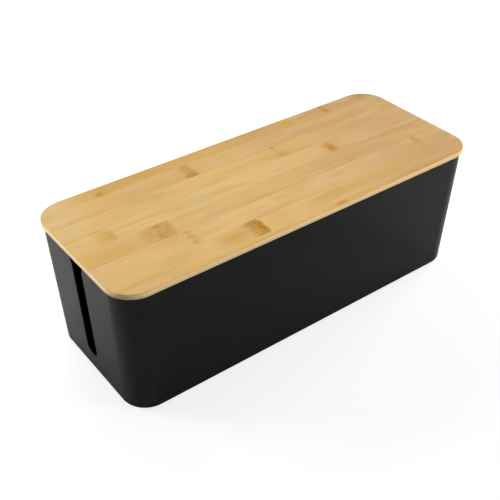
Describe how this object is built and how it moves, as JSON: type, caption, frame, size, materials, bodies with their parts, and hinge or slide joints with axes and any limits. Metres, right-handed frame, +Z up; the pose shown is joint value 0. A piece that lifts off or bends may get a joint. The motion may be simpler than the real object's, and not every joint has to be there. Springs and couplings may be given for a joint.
{
  "type": "cable management box",
  "caption": "Open-topped tub with a full-round cable slot in each short end, standing on rubber feet, closed by a flat glued bamboo board that lifts off and is kept in place by rubber pegs.",
  "frame": {"origin": "middle of the footprint, on the surface that the feet stand on", "axes": "+X along the box from one cable slot to the other, -Y the long front, +Z up"},
  "size_m": [0.4, 0.156, 0.1355],
  "materials": {
    "tub_plastic": "black moulded plastic with a fine satin texture",
    "bamboo": "glued bamboo strips, sanded and oiled, satin",
    "foot_rubber": "black moulded rubber",
    "peg_rubber": "black moulded rubber"
  },
  "bodies": {
    "tub": {"tub": "tub_plastic", "foot_front_left": "foot_rubber", "foot_front_right": "foot_rubber", "foot_back_left": "foot_rubber", "foot_back_right": "foot_rubber"},
    "lid": {"lid_strip_1": "bamboo", "lid_strip_2": "bamboo", "lid_strip_3": "bamboo", "lid_strip_4": "bamboo", "lid_strip_5": "bamboo", "lid_strip_6": "bamboo", "lid_strip_7": "bamboo", "lid_strip_8": "bamboo", "lid_peg_front_left": "peg_rubber", "lid_peg_front_right": "peg_rubber", "lid_peg_back_left": "peg_rubber", "lid_peg_back_right": "peg_rubber"}
  },
  "joints": [
    {"name": "lid_lift", "type": "slide", "parent": "tub", "child": "lid", "axis": [0, 0, 1], "range_m": [0, 0.12]}
  ]
}
